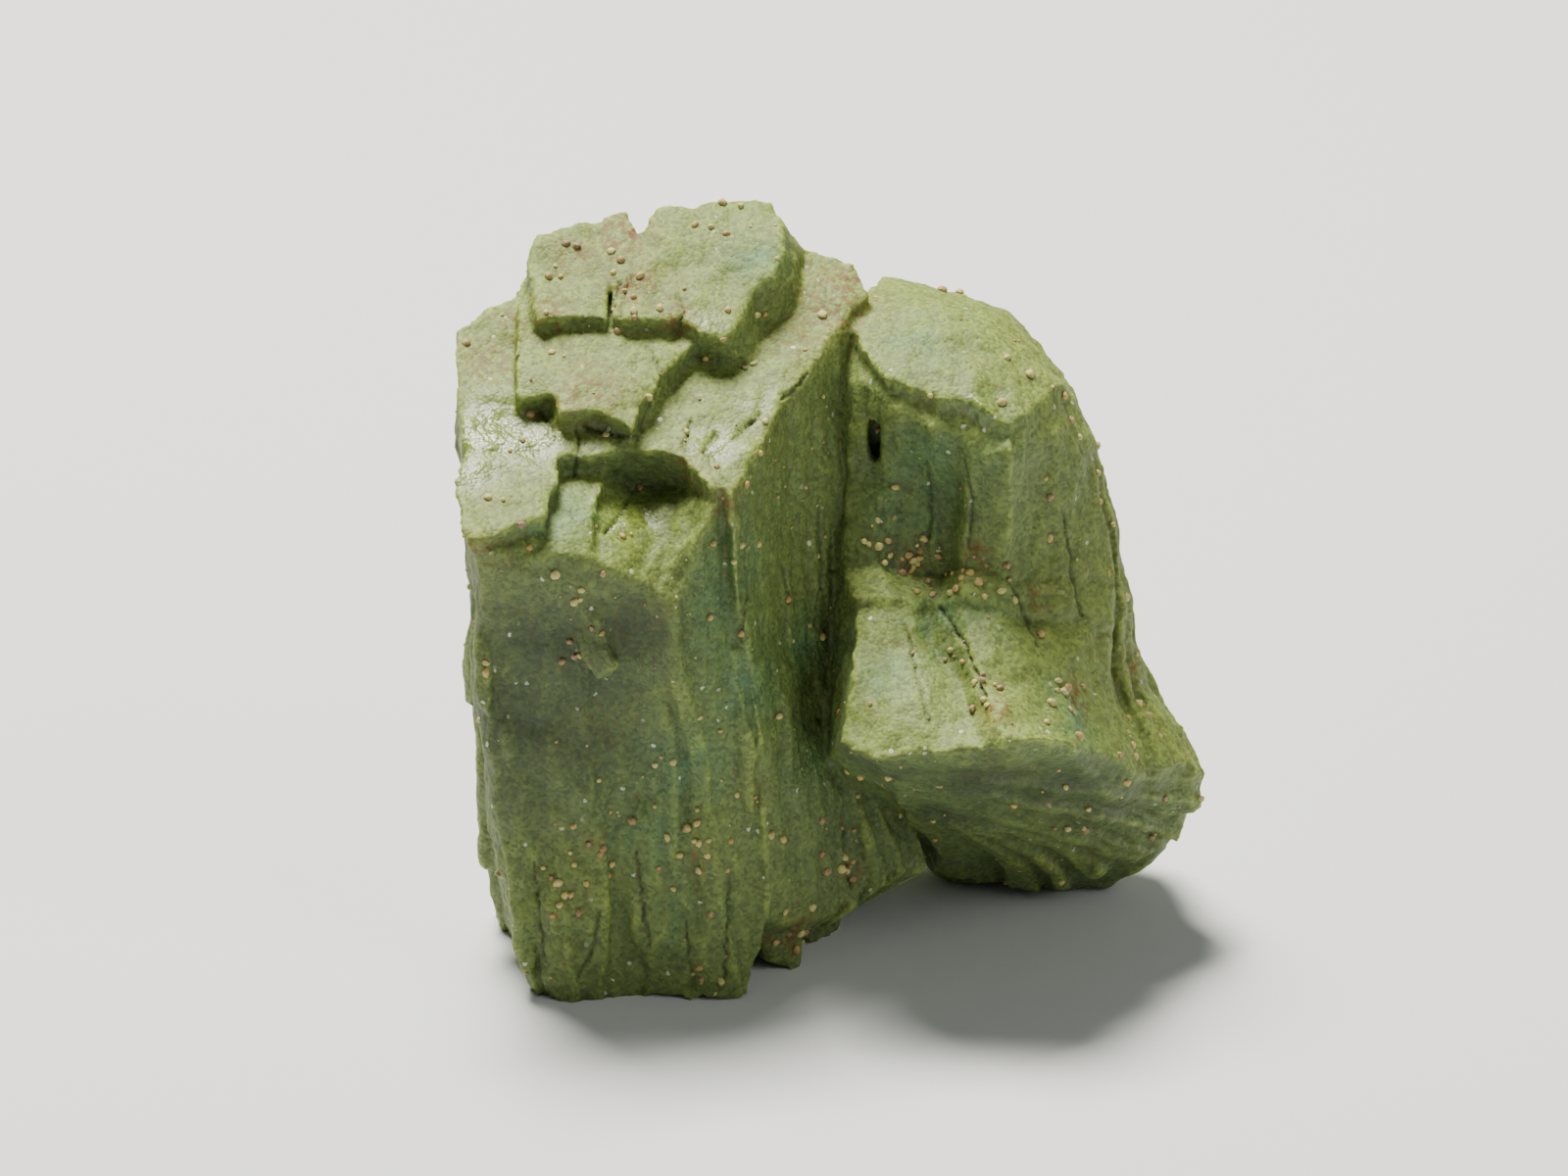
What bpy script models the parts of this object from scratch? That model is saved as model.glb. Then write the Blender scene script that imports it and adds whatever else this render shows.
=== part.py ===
"""Rough heulandite: two flaring sheaves of platy crystals, grown together into one piece.

The piece stands on the flat ends of its lower blades. X runs to the right, Y away from
the usual viewer and Z up. Outlines are in millimetres and are scaled when a mesh is made.
"""

import math
import random

import bmesh
import bpy
from mathutils import Matrix, Vector

MM = 0.001
NAME = "heulandite_cluster"
STONE_COLOUR = (0.19, 0.27, 0.14, 1.0)
STONE_ROUGHNESS = 0.5

# The sloping top of the left sheaf: its front lip and its rise to the back
LIP_Y = -4.0
LIP_Z = 33.9
TOP_SLOPE = math.radians(25.0)

# The two plates that step up to the back: heights above that plane, their roots below it, and
# their outlines seen square on, as points across and up the slope
SECOND_PLATE = 1.7
HIGHEST_PLATE = 2.8
PLATE_ROOT = -1.2
SECOND_OUTLINE = [
    (-20.3, 21.0), (-20.2, 12.6), (-18.1, 13.3), (-17.9, 11.2), (-15.1, 11.5), (-12.6, 9.9),
    (-12.0, 12.4), (-10.6, 15.1), (-8.4, 17.4), (-7.6, 21.0), (-8.6, 25.6), (-18.6, 25.6),
]
HIGHEST_OUTLINE = [
    (-19.7, 24.0), (-19.6, 21.6), (-19.3, 18.6), (-14.6, 18.5), (-14.4, 21.2), (-14.1, 21.3),
    (-14.1, 18.6), (-9.9, 18.6), (-8.5, 17.2), (-6.6, 16.9), (-5.5, 20.2), (-3.9, 21.8), (-3.0, 24.2),
    (-3.0, 26.9), (-3.9, 28.6), (-9.5, 28.3), (-11.3, 27.8), (-12.0, 25.9), (-12.6, 25.8),
    (-13.2, 27.8), (-19.1, 26.3),
]
# The highest plate's right side slants outwards to its foot, and its back sides are broken
SLANTED_CORNERS = range(9, 14)
SIDE_SLANT = 2.0
BROKEN_SIDES = (14, 19)
BROKEN_REACH = 0.3
BROKEN_STEP = 0.9
PLATE_SEED = 5

# Blades: the long crystals whose edges show as upright lines on the sides
BLADE_WIDTH = 1.5
WEDGE_WIDTH = 2.2
HIDDEN_WIDTH = 2.7
BLADE_DEPTH = 0.30
STEP_SHARE = 0.07
LEFT_STATIONS = 10
LEFT_SLIP = 0.3
RAGGED_END = 0.45
LEFT_FOOT_SHARE = 0.6
LEFT_SEED = 11
RIGHT_SEED = 23

FLOOR_BLOCK = 80.0

# Guide lines of the left sheaf, top to bottom, counter-clockwise seen from above. Each is the
# roughness at the top and at the bottom of the face that follows it, its blades' width and points.
LEFT_GUIDES = [
    (0.2, 1.0, BLADE_WIDTH, [(-23.6, -2.5, 34.6), (-22.9, -1.3, 31), (-22.6, 0.6, 24), (-22.2, 1.2, 16),
                             (-20.9, 1.6, 8), (-18.9, 1.0, -1.0)]),
    (0.15, 1.2, BLADE_WIDTH, [(-17.9, -1.9, 34.9), (-17.9, -1.2, 31), (-17.8, 0.9, 24), (-17.5, 1.7, 17),
                             (-17.0, 1.3, 8), (-16.2, 0.4, -1.0)]),
    (0.15, 1.2, BLADE_WIDTH, [(-13.0, -1.5, 35.0), (-12.8, -1.0, 31), (-12.6, 0.8, 24), (-12.3, 1.9, 17),
                             (-12.0, 1.3, 8), (-12.0, 0.2, -1.0)]),
    (0.1, 0.4, BLADE_WIDTH, [(-8.4, 0.2, 35.8), (-10.2, -0.7, 29.8), (-9.4, 0.2, 24), (-7.9, 1.2, 16),
                             (-7.0, 1.1, 8), (-5.5, 0.6, -1.0)]),
    (0.1, 0.2, BLADE_WIDTH, [(-7.2, 1.9, 36.6), (-6.9, 2.5, 29.7), (-6.2, 2.6, 24), (-5.4, 2.6, 16),
                             (-4.9, 2.2, 8), (-4.7, 1.9, 0.8)]),
    (0.1, 1.2, BLADE_WIDTH, [(-6.4, 0.9, 36.2), (-6.2, 1.3, 31.0), (-5.3, 1.8, 25), (-4.5, 2.0, 17),
                             (-4.1, 2.0, 10), (-3.9, 2.1, 5.0)]),
    (0.1, 1.4, BLADE_WIDTH, [(-3.0, 8.5, 39.7), (-2.8, 8.5, 32), (-2.4, 7.6, 24), (-1.0, 6.9, 16),
                             (0.4, 6.5, 10), (1.3, 6.4, 3.2)]),
    (0.3, 1.0, BLADE_WIDTH, [(2.7, 16.9, 43.6), (2.5, 14.8, 36.3), (1.2, 13.0, 29), (1.2, 12.0, 21),
                             (3.6, 11.4, 13), (6.6, 11.0, 4.6)]),
    (0.5, 1.0, HIDDEN_WIDTH, [(1.6, 19.3, 44.8), (0.8, 18.2, 36), (0.4, 17.0, 26), (1.5, 17.0, 16),
                              (4.0, 17.5, 8), (6.0, 17.5, 2.0)]),
    (1.2, 1.6, HIDDEN_WIDTH, [(-3.2, 21.4, 45.7), (-3.0, 20.3, 34), (-3.0, 19.1, 24), (-3.0, 19.5, 14),
                              (-2.5, 21.0, 6), (-2.0, 22.2, -1.0)]),
    (1.2, 1.8, HIDDEN_WIDTH, [(-11.0, 21.6, 45.8), (-11.0, 20.0, 34), (-11.2, 18.8, 24), (-11.2, 19.2, 14),
                              (-11.4, 20.8, 6), (-11.6, 22.3, -1.0)]),
    (0.9, 1.4, HIDDEN_WIDTH, [(-19.2, 20.4, 45.3), (-19.5, 18.9, 34), (-19.7, 17.8, 24), (-20.0, 18.0, 14),
                              (-20.4, 19.2, 6), (-20.6, 20.4, -1.0)]),
    (0.8, 1.2, HIDDEN_WIDTH, [(-20.1, 17.4, 44.0), (-20.5, 16.9, 34), (-20.8, 16.2, 24), (-21.0, 16.2, 14),
                              (-21.3, 17.0, 6), (-21.2, 17.7, -1.0)]),
    (0.8, 1.2, HIDDEN_WIDTH, [(-24.7, 14.4, 42.5), (-24.0, 14.4, 32), (-23.5, 14.2, 22), (-23.0, 14.0, 12),
                              (-22.6, 13.9, 5), (-22.2, 13.7, -1.0)]),
    (0.7, 1.0, BLADE_WIDTH, [(-24.3, 5.5, 38.3), (-23.6, 5.6, 30), (-23.3, 6.0, 20), (-22.9, 6.8, 12),
                             (-21.9, 7.8, 5), (-20.5, 8.6, -1.0)]),
]
LEFT_FOOT_CENTRE = (-9.0, 11.0, -5.0)

# The low shelf in front of the arched step, as columns from left to right. Each column gives
# the head of the step (across, up the slope, depth of the step) and the shelf's front lip.
SHELF_COLUMNS = [
    ((-24.9, 0.6, 0.3), (-25.4, -5.4, 32.4)),
    ((-22.2, 1.9, 0.9), (-22.8, -3.4, 32.1)),
    ((-20.4, 3.0, 1.4), (-21.2, -2.4, 32.4)),
    ((-18.7, 3.7, 1.7), (-20.0, -1.8, 32.7)),
    ((-17.9, 7.1, 1.7), (-19.3, -1.5, 33.0)),
    ((-17.7, 9.0, 1.7), (-18.8, -1.4, 33.2)),
    ((-16.4, 8.9, 1.7), (-17.4, -1.3, 33.3)),
    ((-14.6, 9.2, 1.8), (-15.8, -1.2, 33.1)),
    ((-14.4, 9.3, 3.2), (-15.4, -1.2, 32.3)),
    ((-12.9, 9.5, 4.0), (-14.0, -1.1, 31.9)),
    ((-11.1, 9.2, 3.9), (-12.6, -1.0, 30.6)),
    ((-9.7, 8.7, 3.2), (-11.6, -0.9, 29.6)),
    ((-8.4, 7.2, 1.8), (-10.6, -0.8, 28.6)),
    ((-7.2, 5.2, 0.1), (-8.6, -2.2, 29.4)),
]
SHELF_CROWN = 0.7
SHELF_HEAD = 6.0
SHELF_BEYOND = Vector((0.0, -9.0, -5.0))
SHELF_SKY = 60.0

# Guide lines of the right sheaf. The levels run down the sheaf: edge of the domed top,
# foot of its step, second layer, wall, foot of the wall, ledge, flare, rim, underside, foot.
RIGHT_GUIDES = [
    (0.25, 0.4, WEDGE_WIDTH, [(2.2, 12.6, 41.4), (2.2, 12.6, 40.4), (2.0, 11.9, 39.6), (1.2, 11.4, 33),
                             (1.2, 10.0, 27), (1.7, 7.0, 25.2), (1.6, 2.8, 23.1), (0.7, -0.8, 19.6),
                             (1.3, 1.0, 17.6), (3.4, 9.6, 10.4), (5.6, 17.0, 2.6)]),
    (0.25, 0.4, WEDGE_WIDTH, [(3.8, 10.0, 40.8), (3.9, 10.2, 39.7), (4.1, 9.6, 38.9), (3.5, 10.9, 33),
                             (3.4, 9.0, 27.4), (3.5, 6.6, 25.4), (3.3, 2.0, 22.7), (3.2, -2.6, 19.2),
                             (3.9, -1.0, 17.5), (5.6, 8.0, 10.2), (7.6, 17.0, 2.3)]),
    (0.25, 0.4, WEDGE_WIDTH, [(6.6, 8.6, 40.0), (6.6, 8.9, 38.9), (6.6, 8.2, 38.1), (6.1, 10.4, 33),
                             (5.7, 9.2, 26.6), (5.4, 6.4, 25.3), (5.6, 1.4, 23.0), (6.6, -3.5, 20.0),
                             (7.0, -2.0, 18.2), (8.0, 7.6, 10.4), (9.3, 17.3, 1.8)]),
    (0.25, 0.4, WEDGE_WIDTH, [(8.3, 8.0, 39.9), (8.3, 8.4, 38.8), (8.2, 7.8, 37.4), (8.2, 9.8, 32),
                             (7.5, 9.0, 26.8), (6.4, 7.0, 24.8), (7.7, 2.9, 22.7), (10.0, -3.4, 20.2),
                             (10.2, -2.2, 18.4), (10.6, 7.6, 10.6), (11.0, 17.5, 1.2)]),
    (0.25, 0.4, WEDGE_WIDTH, [(9.6, 7.6, 39.8), (9.6, 7.9, 38.4), (9.4, 7.2, 36.6), (8.9, 7.9, 31.8),
                             (8.5, 7.3, 28.2), (8.6, 5.6, 26.4), (9.3, 1.7, 24.2), (11.4, -4.0, 21.1),
                             (11.7, -2.5, 19.0), (12.3, 7.6, 10.8), (12.6, 17.4, 0.4)]),
    (0.25, 0.4, WEDGE_WIDTH, [(11.8, 7.2, 38.4), (11.8, 7.4, 37.6), (12.1, 6.8, 37.0), (12.1, 7.2, 32),
                             (11.6, 6.6, 27.9), (11.2, 5.0, 26.0), (12.2, 1.5, 22.8), (13.9, -3.1, 20.7),
                             (14.0, -1.8, 18.6), (14.1, 7.4, 10.6), (14.0, 17.2, -0.4)]),
    (0.6, 0.5, WEDGE_WIDTH, [(12.6, 8.0, 38.9), (12.8, 8.2, 38.0), (13.3, 8.6, 36.6), (13.5, 8.6, 31.5),
                             (13.0, 7.4, 27.2), (12.9, 6.2, 24.7), (14.3, 3.2, 22.6), (16.5, -1.0, 19.1),
                             (16.3, 0.1, 17.1), (16.0, 8.4, 9.8), (15.8, 16.8, -0.8)]),
    (0.5, 0.8, BLADE_WIDTH, [(15.0, 12.0, 39.0), (15.0, 11.2, 37.6), (15.0, 10.0, 36.2), (14.9, 9.0, 31.6),
                             (15.2, 8.2, 27), (15.7, 7.4, 24.2), (17.0, 4.8, 20.6), (18.6, 2.0, 16.8),
                             (18.2, 3.2, 15.0), (17.6, 9.8, 8.6), (17.2, 16.4, 0.3)]),
    (0.5, 1.2, BLADE_WIDTH, [(16.0, 15.0, 37.2), (16.6, 14.2, 36.0), (17.2, 13.5, 34.6), (18.3, 12.2, 30),
                             (18.4, 10.8, 25.6), (18.4, 9.6, 22.6), (19.0, 7.2, 18.6), (20.3, 4.2, 14.7),
                             (19.8, 5.4, 13.0), (19.2, 11.0, 7.4), (18.8, 15.9, 1.5)]),
    (0.6, 1.4, BLADE_WIDTH, [(15.8, 17.5, 37.0), (16.6, 16.6, 35.6), (17.5, 15.7, 34.0), (19.2, 14.0, 28),
                             (19.5, 12.6, 24), (19.7, 11.9, 20.6), (21.0, 10.6, 17.2), (24.0, 8.0, 13.8),
                             (23.4, 8.9, 12.1), (22.2, 12.2, 6.8), (20.7, 15.6, 2.2)]),
    (0.8, 1.4, HIDDEN_WIDTH, [(14.6, 19.7, 37.8), (15.4, 19.2, 36.2), (16.4, 18.2, 34.4), (18.7, 16.8, 28),
                              (19.4, 16.0, 23.5), (20.0, 15.2, 19.6), (21.8, 14.0, 15.6), (24.8, 11.4, 11.3),
                              (24.5, 12.2, 9.3), (23.2, 14.4, 5.0), (21.6, 16.6, 2.6)]),
    (1.0, 1.4, HIDDEN_WIDTH, [(12.6, 21.5, 39.6), (13.0, 21.6, 38.2), (13.6, 21.6, 36), (15.8, 21.2, 28),
                              (17.2, 20.8, 22), (18.3, 20.7, 17.4), (20.0, 20.6, 12.6), (22.2, 19.8, 7.8),
                              (22.0, 19.8, 5.8), (20.2, 19.3, 2.7), (18.2, 18.6, 0.9)]),
    (1.0, 1.4, HIDDEN_WIDTH, [(8.0, 22.4, 41.5), (8.1, 22.8, 40), (8.3, 23.2, 37), (9.3, 23.2, 28),
                              (10.4, 23.3, 20.6), (11.4, 23.8, 14.6), (13.0, 24.8, 9.6), (15.0, 25.6, 5.8),
                              (15.0, 25.0, 3.8), (14.5, 23.0, 1.4), (14.0, 20.5, -0.8)]),
    (1.0, 1.2, HIDDEN_WIDTH, [(3.5, 22.4, 43.0), (3.3, 22.8, 41.4), (3.0, 23.2, 38), (2.8, 23.2, 29),
                              (3.2, 23.3, 20.6), (3.8, 23.8, 14.6), (5.0, 24.8, 9.6), (6.0, 25.8, 5.8),
                              (6.2, 25.2, 3.8), (7.2, 23.2, 1.8), (8.6, 20.8, -0.4)]),
    (0.3, 0.3, HIDDEN_WIDTH, [(1.2, 17.0, 42.4), (0.4, 17.0, 41), (-1.0, 17.0, 38), (-2.0, 17.0, 30),
                              (-2.0, 17.0, 22), (-2.0, 17.0, 17), (-1.5, 17.0, 12), (-1.0, 17.0, 8),
                              (0.2, 17.0, 6.4), (2.6, 17.4, 4.6), (5.4, 18.2, 2.0)]),
]
RIGHT_CROWN = (7.0, 17.0, 43.0)
RIGHT_FOOT_CENTRE = (13.5, 18.6, -5.0)
# Places along a right guide where a ring of points is set; the ledge is a flight of small steps
LEDGE_LEVEL = 4
LEDGE_STEPS = 3
RIGHT_LEVELS = [0, 1, 2, 3] + [LEDGE_LEVEL + k / (2 * LEDGE_STEPS) for k in range(2 * LEDGE_STEPS)] + [
    5, 6, 6.5, 7, 8, 9, 10]
# Rings of the dome: how near to the crown, and how much of its height
DOME_RINGS = [(0.86, 0.22), (0.66, 0.5), (0.36, 0.84)]
# Corners on each side that the dome's rings are evened over
DOME_BLEND = 5

# Fibres that fan out over the right sheaf's underside: their starts, middles and ends from the rim down
FAN_STARTS = [(4.6, -1.2, 17.9), (4.6, 1.6, 15.2), (4.6, 5.6, 11.8), (5.0, 10.2, 8.2)]
FAN_MIDDLES = [(13.0, -1.7, 18.3), (15.2, 1.6, 14.9), (14.6, 6.6, 10.2), (11.8, 10.8, 6.2), (7.2, 13.0, 5.2)]
FAN_ENDS = [(20.6, 5.2, 14.0), (24.4, 9.6, 11.8), (24.7, 11.4, 9.6), (23.6, 12.9, 6.8), (22.6, 14.3, 4.2),
            (20.0, 15.2, 2.9), (16.6, 15.8, 0.9), (13.4, 16.2, 0.3), (10.2, 16.4, 0.8), (7.0, 15.8, 2.6)]
FAN_FIBRES = 27
FAN_PLACES = [0.0, 0.6, 1.3, 2.0]
FAN_RAGGED = 0.14
FAN_LIFT = (-0.2, 0.6)
FAN_OUT = Vector((0.0, -0.7, -0.7))
FAN_BACK = Vector((-0.5, 2.4, 2.5))
FAN_SEED = 31


# Single blades that stand proud of a face: head, tip, width, how proud they stand, and the way
# they face, in degrees about the upright from the front
SINGLE_BLADES = [
    ((-15.4, 1.6, 15.5), (-14.8, 0.8, 1.8), 1.5, 0.55, 0),
    ((-12.2, 1.8, 17.0), (-11.5, 1.2, 3.2), 2.2, 0.6, 0),
    ((-18.4, 1.8, 13.0), (-17.2, 0.5, -0.8), 2.4, 0.5, 0),
    ((-8.8, 1.5, 13.0), (-8.2, 0.8, -0.8), 2.0, 0.4, 0),
    ((-16.4, -0.4, 30.5), (-14.7, 0.3, 23.8), 2.5, 0.8, 0),
    ((-22.6, 0.3, 29.5), (-22.6, 0.6, 20.6), 1.0, 0.7, 0),
    ((-20.9, 1.6, 13.0), (-19.8, 1.1, 1.6), 1.4, 0.5, 0),
    ((-6.4, 1.9, 25.0), (-5.2, 1.9, 13.0), 1.0, 0.4, 0),
    ((-8.0, 20.2, 38.0), (-8.4, 19.2, 20.0), 3.4, 0.8, 180),
    ((-14.5, 19.1, 33.0), (-14.8, 18.7, 13.0), 4.2, 0.9, 180),
    ((-5.0, 20.1, 30.0), (-5.2, 20.6, 7.0), 2.6, 0.8, 180),
    ((-11.0, 19.1, 18.0), (-11.3, 21.2, 3.0), 3.6, 0.7, 180),
    ((-17.6, 19.0, 40.0), (-17.8, 18.0, 24.0), 2.4, 0.8, 180),
    ((-16.8, 18.6, 14.0), (-17.2, 20.4, 1.5), 3.0, 0.8, 180),
    ((5.6, 23.2, 35.0), (6.0, 23.2, 21.0), 2.6, 0.7, 180),
    ((8.2, 23.3, 24.0), (9.6, 24.8, 9.5), 3.2, 0.8, 180),
    ((12.4, 22.4, 30.0), (14.4, 22.8, 16.0), 2.4, 0.7, 160),
    ((-23.8, 10.0, 34.0), (-23.3, 10.4, 17.0), 3.0, 0.7, -90),
    ((-23.3, 7.6, 22.0), (-22.3, 8.4, 6.0), 2.6, 0.7, -90),
]
# Along a single blade: place, share of its width and share of its height
BLADE_PROFILE = [(0.0, 0.6, -0.9), (0.35, 0.9, 0.2), (0.86, 1.0, 1.0), (1.0, 0.5, 0.8)]
BLADE_ROOT = 1.2
BLADE_SKEW = 0.1
# Broken blades that hang below the side face and reach the ground: outline in plan, head, foot
HANGING_BLADES = [
    ([(-4.2, 4.7), (-3.0, 4.9), (-1.9, 5.5), (-2.3, 8.0), (-5.0, 7.6)], 8.0, (1.2, 0.2, -0.6, -0.6, -0.6)),
    ([(-1.7, 8.2), (-0.4, 9.4), (0.9, 11.2), (-0.4, 13.2), (-3.0, 10.4)], 8.0, (0.6, -0.6, 0.3, -0.6, -0.6)),
]
# Narrow gaps between blades: middle and size
SLOTS = [
    ((3.1, 10.0, 35.6), (0.8, 6.0, 3.2)),
    ((-8.5, 0.5, 0.4), (0.3, 2.6, 3.6)),
    ((-16.7, 6.0, 38.4), (0.3, 5.4, 2.0)),
]


def clear_scene():
    """Start from an empty scene."""
    for item in list(bpy.data.objects):
        bpy.data.objects.remove(item, do_unlink=True)


def new_collection(name):
    """A collection of the scene."""
    made = bpy.data.collections.new(name)
    bpy.context.scene.collection.children.link(made)
    return made


def on_top(x, along, raised=0.0):
    """A point of the left sheaf's sloping top: across, up the slope and above the plane."""
    return (
        x,
        LIP_Y + along * math.cos(TOP_SLOPE) - raised * math.sin(TOP_SLOPE),
        LIP_Z + along * math.sin(TOP_SLOPE) + raised * math.cos(TOP_SLOPE),
    )


def top_height(y):
    """Height of the sloping top at a depth."""
    return LIP_Z + (y - LIP_Y) * math.tan(TOP_SLOPE)


def curve_point(line, place):
    """Catmull-Rom point of a guide line; place counts its points from 0."""
    last = len(line) - 1
    place = min(max(place, 0.0), last)
    first = min(int(place), last - 1)
    t = place - first
    p0, p1, p2, p3 = (Vector(line[min(max(first + k, 0), last)]) for k in (-1, 0, 1, 2))
    return 0.5 * (
        2 * p1 + (p2 - p0) * t + (2 * p0 - 5 * p1 + 4 * p2 - p3) * t ** 2
        + (3 * p1 - p0 - 3 * p2 + p3) * t ** 3
    )


def straight_point(line, place):
    """Point of a guide line with straight runs between its points."""
    first = min(int(place), len(line) - 2)
    return Vector(line[first]).lerp(Vector(line[first + 1]), place - first)


def ledged_point(line, place):
    """Point of a right guide line, with small steps between the wall's foot and the ledge."""
    climb = (place - LEDGE_LEVEL) * 2 * LEDGE_STEPS
    if not 0 < climb < 2 * LEDGE_STEPS:
        return straight_point(line, place)
    out = math.ceil(climb / 2) / LEDGE_STEPS
    down = (math.floor(climb / 2) + 0.12 * (climb % 2)) / LEDGE_STEPS
    upper, lower = Vector(line[LEDGE_LEVEL]), Vector(line[LEDGE_LEVEL + 1])
    made = upper.lerp(lower, out)
    made.z = upper.z + (lower.z - upper.z) * down
    return made


def division(count, rng):
    """Cuts of a face into blades of uneven width, from 0 to 1."""
    widths = [rng.uniform(0.6, 1.4) for _ in range(count)]
    total = sum(widths)
    cuts = [0.0]
    for width in widths:
        cuts.append(cuts[-1] + width / total)
    return cuts


def blade_places(places, rng, slip):
    """The levels of one blade, slipped up or down between the first and the last."""
    slipped = list(places)
    for k in range(1, len(places) - 1):
        room = min(places[k] - places[k - 1], places[k + 1] - places[k])
        slipped[k] += rng.uniform(-slip, slip) * room
    return slipped


def blade_depths(count, rng, top_rough, foot_rough, foot_share):
    """How far a blade stands out at each level; a ledge is where it ends over a deeper one."""
    level = rng.uniform(-1.0, 1.0)
    ledge = rng.choice((count, count, rng.randrange(2, count - 1)))
    depths = []
    for k in range(count):
        share = k / (count - 1)
        if k == ledge:
            level -= rng.uniform(0.8, 1.6)
        depths.append(level * BLADE_DEPTH * (top_rough + (foot_rough - top_rough) * share))
    depths[-1] *= foot_share
    return depths


def side_normal(near, far):
    """Outward direction of a face in plan, for points that run counter-clockwise."""
    return Vector((far.y - near.y, near.x - far.x, 0.0)).normalized()


def ribbed_rings(guides, places, point, seed, slip, ragged, foot_share):
    """Rings of points round a sheaf: each face between two guides is a row of blades."""
    rng = random.Random(seed)
    rings = [[] for _ in places]
    for index, (top_rough, foot_rough, blade_width, line) in enumerate(guides):
        before, after, beyond = (guides[(index + k) % len(guides)][3] for k in (-1, 1, 2))
        width = max((point(line, k) - point(after, k)).length for k in places)
        cuts = division(max(1, round(width / blade_width)), rng)
        for start, end in zip(cuts, cuts[1:]):
            slipped = blade_places(places, rng, slip * min(1.0, foot_rough * foot_rough))
            depths = blade_depths(len(places), rng, top_rough, foot_rough, foot_share)
            slipped[-1] -= rng.uniform(0.0, ragged) * (places[-1] - places[-2])
            for ring, place, depth in zip(rings, slipped, depths):
                corners = [point(guide, place) for guide in (before, line, after, beyond)]
                behind, face, ahead = (side_normal(*corners[k:k + 2]) for k in range(3))
                turn_in, turn_out = behind + face, face + ahead
                for share in (start + STEP_SHARE * (end - start), end):
                    outward = turn_in.normalized().lerp(turn_out.normalized(), share)
                    ring.append(corners[1].lerp(corners[2], share) + outward * depth)
    return rings


def mesh_object(name, work, collection):
    """Object made from a bmesh in millimetres."""
    bmesh.ops.scale(work, vec=(MM, MM, MM), verts=work.verts)
    bmesh.ops.recalc_face_normals(work, faces=work.faces)
    if work.calc_volume(signed=True) < 0:
        bmesh.ops.reverse_faces(work, faces=work.faces)
    mesh = bpy.data.meshes.new(name)
    work.to_mesh(mesh)
    work.free()
    made = bpy.data.objects.new(name, mesh)
    collection.objects.link(made)
    return made


def dome_rings(edge):
    """Rings that close a domed top from its edge towards the crown."""
    crown = Vector(RIGHT_CROWN)
    span = range(-DOME_BLEND, DOME_BLEND + 1)
    rings = []
    for share, rise in reversed(DOME_RINGS):
        ring = []
        for index, corner in enumerate(edge):
            around = sum((edge[(index + k) % len(edge)] for k in span), Vector()) / len(span)
            even = around.lerp(corner, share)
            made = crown.lerp(even, share)
            made.z = even.z + (crown.z - even.z) * rise
            ring.append(made)
        rings.append(ring)
    return rings


def loft(name, rings, collection, top=None, foot=None):
    """Closed body through rings of equal count, capped flat or to a centre point."""
    work = bmesh.new()
    loops = [[work.verts.new(point) for point in ring] for ring in rings]
    for upper, lower in zip(loops, loops[1:]):
        for k, corner in enumerate(upper):
            after = (k + 1) % len(upper)
            work.faces.new((corner, lower[k], lower[after], upper[after]))
    for ring, centre in ((loops[0], top), (loops[-1], foot)):
        if centre is None:
            work.faces.new(ring)
            continue
        hub = work.verts.new(centre)
        for k, corner in enumerate(ring):
            work.faces.new((corner, ring[(k + 1) % len(ring)], hub))
    work.normal_update()
    bmesh.ops.triangulate(work, faces=work.faces)
    return mesh_object(name, work, collection)


def plate(name, outline, foot, height, collection):
    """Plate on the sloping top, from the outline of its foot to the outline of its top."""
    rings = [[on_top(x, along, level) for x, along in shape]
             for shape, level in ((outline, height), (foot, PLATE_ROOT))]
    return loft(name, rings, collection)


def broken(outline, rng):
    """Outline whose back sides are broken into small in-and-out steps."""
    made = []
    for index, corner in enumerate(outline):
        here, after = Vector(corner), Vector(outline[(index + 1) % len(outline)])
        made.append(tuple(here))
        if index not in BROKEN_SIDES:
            continue
        run = after - here
        out = Vector((run.y, -run.x)).normalized()
        cuts = division(max(2, round(run.length / BROKEN_STEP)), rng)
        for start, end in zip(cuts, cuts[1:]):
            inset = STEP_SHARE * (end - start)
            depth = rng.uniform(-BROKEN_REACH, BROKEN_REACH)
            for place in (start + inset, end - inset):
                made.append(tuple(here.lerp(after, place) + out * depth))
    return made


def left_sheaf(collection):
    """The left sheaf up to its sloping top plane."""
    last = len(LEFT_GUIDES[0][3]) - 1
    places = [k * last / (LEFT_STATIONS - 1) for k in range(LEFT_STATIONS)]
    rings = ribbed_rings(LEFT_GUIDES, places, curve_point, LEFT_SEED, LEFT_SLIP, RAGGED_END, LEFT_FOOT_SHARE)
    for corner in rings[0]:
        corner.z = top_height(corner.y)
    return loft("left_sheaf", rings, collection, foot=LEFT_FOOT_CENTRE)


def right_sheaf(collection):
    """The right sheaf with its domed top, flare, rim and underside."""
    rings = ribbed_rings(RIGHT_GUIDES, RIGHT_LEVELS, ledged_point, RIGHT_SEED, 0.0, 0.0, 0.0)
    rings = dome_rings(rings[0]) + rings
    return loft("right_sheaf", rings, collection, top=RIGHT_CROWN, foot=RIGHT_FOOT_CENTRE)


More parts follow.
